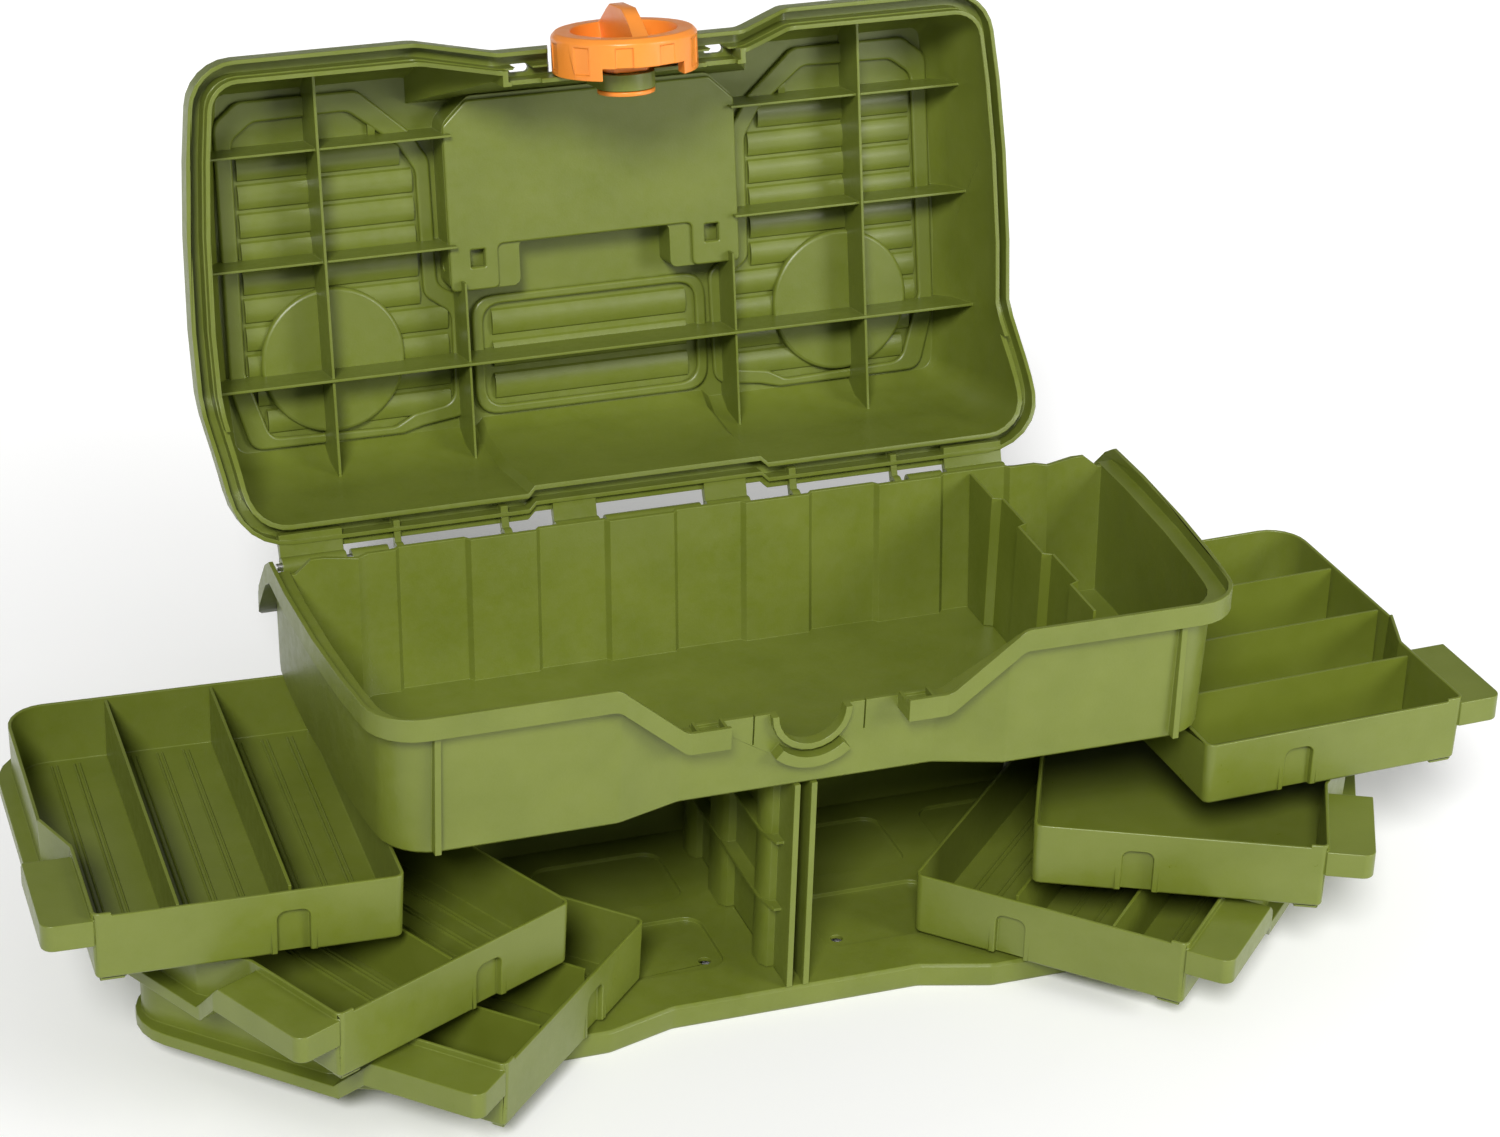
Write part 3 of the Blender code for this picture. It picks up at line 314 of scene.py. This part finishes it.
def sheet_piece(name, outlines, low, high, edge):
    """Flat piece between two heights, with rounded edges; outlines after the first are holes."""
    curve = bpy.data.curves.new(name, "CURVE")
    curve.dimensions = "2D"
    curve.fill_mode = "BOTH"
    curve.extrude = (high - low) / 2 - edge
    curve.bevel_depth = edge
    curve.bevel_resolution = 2
    curve.offset = -edge
    for outline in outlines:
        spline = curve.splines.new("POLY")
        spline.points.add(len(outline) - 1)
        for point, (x, y) in zip(spline.points, outline):
            point.co = (x, y, 0, 1)
        spline.use_cyclic_u = True
    drawn = bpy.data.objects.new(name, curve)
    bpy.context.scene.collection.objects.link(drawn)
    bpy.context.view_layer.update()
    evaluated = drawn.evaluated_get(bpy.context.evaluated_depsgraph_get())
    mesh = bpy.data.meshes.new_from_object(evaluated)
    bpy.data.objects.remove(drawn)
    mesh.transform(Matrix.Translation((0, 0, (low + high) / 2)))
    piece = bpy.data.objects.new(name, mesh)
    bpy.context.scene.collection.objects.link(piece)
    return piece


def add_rib(work, start, end, width, height, base, steps=6):
    """Adds a half-round rib to a bmesh, from start to end in plan; a negative height hangs down."""
    along = Vector((end[0] - start[0], end[1] - start[1], 0.0))
    across = Vector((-along.y, along.x, 0.0)).normalized()
    rings = []
    for x, y in (start, end):
        ring = []
        for step in range(steps + 1):
            angle = math.pi * step / steps
            offset = across * (width / 2) * math.cos(angle)
            ring.append(work.verts.new((x + offset.x, y + offset.y, base + height * math.sin(angle))))
        rings.append(ring)
    first, second = rings
    for index in range(steps):
        work.faces.new((first[index], first[index + 1], second[index + 1], second[index]))
    work.faces.new(first)
    work.faces.new(reversed(second))


def ribs_piece(name, ribs):
    """One piece made of several ribs; ribs are (start, end, width, height, base)."""
    work = bmesh.new()
    for rib in ribs:
        add_rib(work, *rib)
    bmesh.ops.recalc_face_normals(work, faces=work.faces)
    mesh = bpy.data.meshes.new(name)
    work.to_mesh(mesh)
    work.free()
    piece = bpy.data.objects.new(name, mesh)
    bpy.context.scene.collection.objects.link(piece)
    return piece


# ---------------------------------------------------------------- places
def lid_place():
    """From the closed lid to the open one."""
    joint = JOINTS["lid_hinge"]
    hinge = Vector(joint["pos_m"])
    turn = Matrix.Rotation(-math.radians(joint["range_deg"][1]), 4, "X")
    return Matrix.Translation(hinge) @ turn @ Matrix.Translation(-hinge)


def tray_place(level, side_name):
    """From a closed right-hand tray to the open tray of either side."""
    joint = JOINTS[f"tray_{level}_{side_name}_swing"]
    pivot = Vector((abs(joint["pos_m"][0]), joint["pos_m"][1], 0.0))
    turn = Matrix.Rotation(-math.radians(joint["range_deg"][0]), 4, "Z")
    swing = Matrix.Translation(pivot) @ turn @ Matrix.Translation(-pivot)
    return Matrix.Scale(SIDES[side_name], 4, (1, 0, 0)) @ swing


def settle(piece, place, body, material):
    """Puts a piece that was drawn with the box closed into its open place, on its body."""
    piece.data.transform(place)
    piece.data.materials.clear()
    piece.data.materials.append(material)
    piece.data.shade_smooth()
    piece.data.set_sharp_from_angle(angle=math.radians(SMOOTH_ANGLE))
    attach(piece, body)


# ---------------------------------------------------------------- lid relief
def side_panel(side_name, side, place, plastic):
    """Border, ridges and round pad of one ribbed panel inside the lid."""
    low = CEILING - RELIEF
    border = rounded_outline(mirrored_outline(BORDER, side), BORDER_CORNER)
    panel = rounded_outline(mirrored_outline(PANEL, side), PANEL_CORNER)
    piece = sheet_piece(f"lid_border_{side_name}", [border, panel], low, CEILING + SUNK, BORDER_EDGE)
    settle(piece, place, "lid", plastic)
    ridges = []
    for number in range(RIDGE_COUNT):
        y = RIDGE_START + RIDGE_PITCH * number
        start, end = span_at(mirrored_outline(PANEL, side), y)
        ridges.append(((start + RIDGE_END_GAP, y), (end - RIDGE_END_GAP, y),
                       RIDGE_WIDTH, -RIDGE_HEIGHT, CEILING + RIDGE_SUNK))
    settle(ribs_piece(f"lid_ridges_{side_name}", ridges), place, "lid", plastic)
    circle = circle_outline((side * PAD_CENTRE[0], PAD_CENTRE[1]), PAD_RADIUS)
    pad = sheet_piece(f"lid_pad_{side_name}", [circle], low - PAD_DROP, CEILING, PAD_EDGE)
    settle(pad, place, "lid", plastic)


def centre_panel(place, plastic):
    """Border and ridges of the small panel behind the handle recess."""
    inner = rounded_outline(CENTRE_PANEL, CENTRE_PANEL_CORNER)
    widened = [(x * CENTRE_BORDER_WIDEN, y + math.copysign(CENTRE_BORDER_DEEPEN, y - CENTRE_MIDDLE_Y))
               for x, y in CENTRE_PANEL]
    outer = rounded_outline(widened, CENTRE_BORDER_CORNER)
    piece = sheet_piece("lid_centre_border", [outer, inner], CEILING - RELIEF, CEILING + SUNK, BORDER_EDGE)
    settle(piece, place, "lid", plastic)
    ridges = [((-CENTRE_RIDGE_HALF, y), (CENTRE_RIDGE_HALF, y),
               CENTRE_RIDGE_WIDTH, -RIDGE_HEIGHT, CEILING + RIDGE_SUNK) for y in CENTRE_RIDGE_ROWS]
    settle(ribs_piece("lid_centre_ridges", ridges), place, "lid", plastic)


def block_face(place, plastic):
    """Flat face of the block round the handle recess, with a window at each hinge of the handle."""
    outline = BLOCK_RIGHT + mirrored_outline(BLOCK_RIGHT, SIDES["left"])[::-1]
    face = rounded_outline(outline, BLOCK_CORNER)
    windows = [rounded_outline(mirrored_outline(WINDOW, side), WINDOW_CORNER) for side in SIDES.values()]
    piece = sheet_piece("lid_block_face", [face, *windows], BLOCK_LOW - BLOCK_FACE_DROP,
                        BLOCK_LOW + BLOCK_FACE_SUNK, BLOCK_FACE_EDGE)
    settle(piece, place, "lid", plastic)


def lid_relief(plastic):
    """Raised borders, ribbed panels and round pads inside the lid."""
    place = lid_place()
    for side_name, side in SIDES.items():
        side_panel(side_name, side, place, plastic)
    centre_panel(place, plastic)
    block_face(place, plastic)


# ---------------------------------------------------------------- tray ribs
def slot_ribs(floor):
    """Short ribs that stand along the end wall and leave slots between them."""
    start, end = SLOT_RIB_SPAN
    rows = [SLOT_RIB_START + SLOT_RIB_PITCH * number for number in range(SLOT_RIB_COUNT)]
    return [((start, y), (end, y), RIB_WIDTH, SLOT_RIB_HEIGHT, floor) for y in rows]


def floor_ribs(floor):
    """Low ribs in pairs across the floor, where a divider can stand."""
    start, end = RIB_PAIR_SPAN
    rows = [y + shift for y in RIB_PAIR_ROWS for shift in (-RIB_PAIR_SHIFT, RIB_PAIR_SHIFT)]
    return [((start, y), (end, y), RIB_WIDTH, RIB_PAIR_HEIGHT, floor) for y in rows]


def tray_ribs(plastic):
    """Ribs in the trays; the top right tray has a plain floor."""
    for level in ("bottom", "middle", "top"):
        for side_name in SIDES:
            if (level, side_name) == ("top", "right"):
                continue
            tray = f"tray_{level}_{side_name}"
            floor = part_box(tray)[1][2] - TRAY_RAISE - TRAY_HEIGHT + TRAY_FLOOR
            ribs = slot_ribs(floor) if (level, side_name) == ("middle", "right") else floor_ribs(floor)
            settle(ribs_piece(f"{tray}_ribs", ribs), tray_place(level, side_name), tray, plastic)


# ---------------------------------------------------------------- CAD nodes
def finish_kind(name):
    if name.startswith("knob"):
        return "orange"
    if "rod" in name:
        return "steel"
    if "divider" in name:
        return "olive_thin"
    if name.startswith("tray"):
        return "olive_tray"
    return "olive"


def soften_edges(node, kind):
    """Joins the node's split corners, rounds its sharp edges and keeps its flat faces flat."""
    weld = node.modifiers.new("joined_corners", "WELD")
    weld.merge_threshold = SAME_POINT
    if kind == "olive_tray":
        plain = node.modifiers.new("plain_faces", "DECIMATE")
        plain.decimate_type = "DISSOLVE"
        plain.angle_limit = math.radians(FLAT_ANGLE)
    soften = node.modifiers.new("moulded_edges", "BEVEL")
    soften.width = EDGE_SOFTNESS if kind in ("olive_tray", "orange") else FINE_SOFTNESS
    soften.segments = 2
    soften.limit_method = "ANGLE"
    soften.angle_limit = math.radians(BEVEL_ANGLE)
    soften.harden_normals = True
    soften.use_clamp_overlap = False
    flatten = node.modifiers.new("flat_faces", "WEIGHTED_NORMAL")
    flatten.keep_sharp = True


def dress_cad_nodes(finishes):
    """Gives each CAD node its material and its moulded edges."""
    for name, node in frame["nodes"].items():
        kind = finish_kind(name)
        node.data.materials.clear()
        node.data.materials.append(finishes[kind])
        node.data.shade_smooth()
        soften_edges(node, kind)


# ---------------------------------------------------------------- studio
def add_area_light(name, place, target, size, power):
    light = bpy.data.lights.new(name, "AREA")
    light.shape = "DISK"
    light.size = size
    light.energy = power
    lamp = bpy.data.objects.new(name, light)
    lamp.location = place
    lamp.rotation_euler = (Vector(target) - Vector(place)).to_track_quat("-Z", "Y").to_euler()
    bpy.context.scene.collection.objects.link(lamp)


def add_sun(name, towards, strength, spread_degrees):
    light = bpy.data.lights.new(name, "SUN")
    light.energy = strength
    light.angle = math.radians(spread_degrees)
    lamp = bpy.data.objects.new(name, light)
    lamp.rotation_euler = Vector(towards).to_track_quat("Z", "Y").to_euler()
    bpy.context.scene.collection.objects.link(lamp)


def studio():
    """Pale floor, white surroundings, a soft key light from the left and a fill from the right."""
    work = bmesh.new()
    bmesh.ops.create_grid(work, x_segments=1, y_segments=1, size=FLOOR_HALF)
    mesh = bpy.data.meshes.new("studio_floor")
    work.to_mesh(mesh)
    work.free()
    floor = bpy.data.objects.new("studio_floor", mesh)
    floor.location = (0.0, 0.0, cad_box[0][2] - FLOOR_GAP)
    bpy.context.scene.collection.objects.link(floor)
    mesh.materials.append(studio_floor("studio_floor"))
    world = bpy.data.worlds.new("studio")
    bpy.context.scene.world = world
    world.use_nodes = True
    background = world.node_tree.nodes["Background"]
    background.inputs["Color"].default_value = (1.0, 1.0, 1.0, 1.0)
    background.inputs["Strength"].default_value = SKY_STRENGTH
    add_sun("key", towards=(-1.0, -2.0, 1.85), strength=3.0, spread_degrees=16.0)
    add_area_light("fill", place=(1.9, -2.2, 1.3), target=(0.0, 0.0, 0.12), size=1.2, power=46.0)
    bpy.context.scene.view_settings.view_transform = "Standard"


def camera():
    """Long lens from the front left, looking down on the open box."""
    azimuth = math.radians(-20.58)
    elevation = math.radians(27.98)
    roll = math.radians(1.91)
    distance = 2.088
    aim = Vector((0.0, 0.0, 0.18))
    back = Vector((math.sin(azimuth) * math.cos(elevation),
                   -math.cos(azimuth) * math.cos(elevation),
                   math.sin(elevation)))
    right = (-back).cross(Vector((0.0, 0.0, 1.0))).normalized()
    up = right.cross(-back)
    turned_right = math.cos(roll) * right + math.sin(roll) * up
    turned_up = -math.sin(roll) * right + math.cos(roll) * up
    eye = aim + back * distance
    lens = bpy.data.cameras.new("camera")
    lens.sensor_width = 36.0
    lens.lens = 98.1
    lens.shift_x = 0.0108
    lens.shift_y = 0.0198
    viewer = bpy.data.objects.new("camera", lens)
    rows = [[turned_right[axis], turned_up[axis], back[axis], eye[axis]] for axis in range(3)]
    viewer.matrix_world = Matrix(rows + [[0.0, 0.0, 0.0, 1.0]])
    bpy.context.scene.collection.objects.link(viewer)
    bpy.context.scene.camera = viewer


def build():
    camera()
    studio()
    greens = (OLIVE_DEEP, OLIVE, OLIVE_PALE)
    oranges = (ORANGE, ORANGE, ORANGE_PALE)
    finishes = {
        "olive": moulded_plastic("olive_shell", greens, roughness=0.37, grain=0.10, dust=0.03),
        "olive_tray": moulded_plastic("olive_tray", greens, roughness=0.34, grain=0.08, dust=0.03),
        "olive_thin": moulded_plastic("olive_divider", greens, roughness=0.36, grain=0.06),
        "orange": moulded_plastic("orange_knob", oranges, roughness=0.34, grain=0.05),
        "steel": drawn_steel("drawn_steel"),
    }
    dress_cad_nodes(finishes)
    lid_relief(finishes["olive"])
    tray_ribs(finishes["olive_tray"])


build()
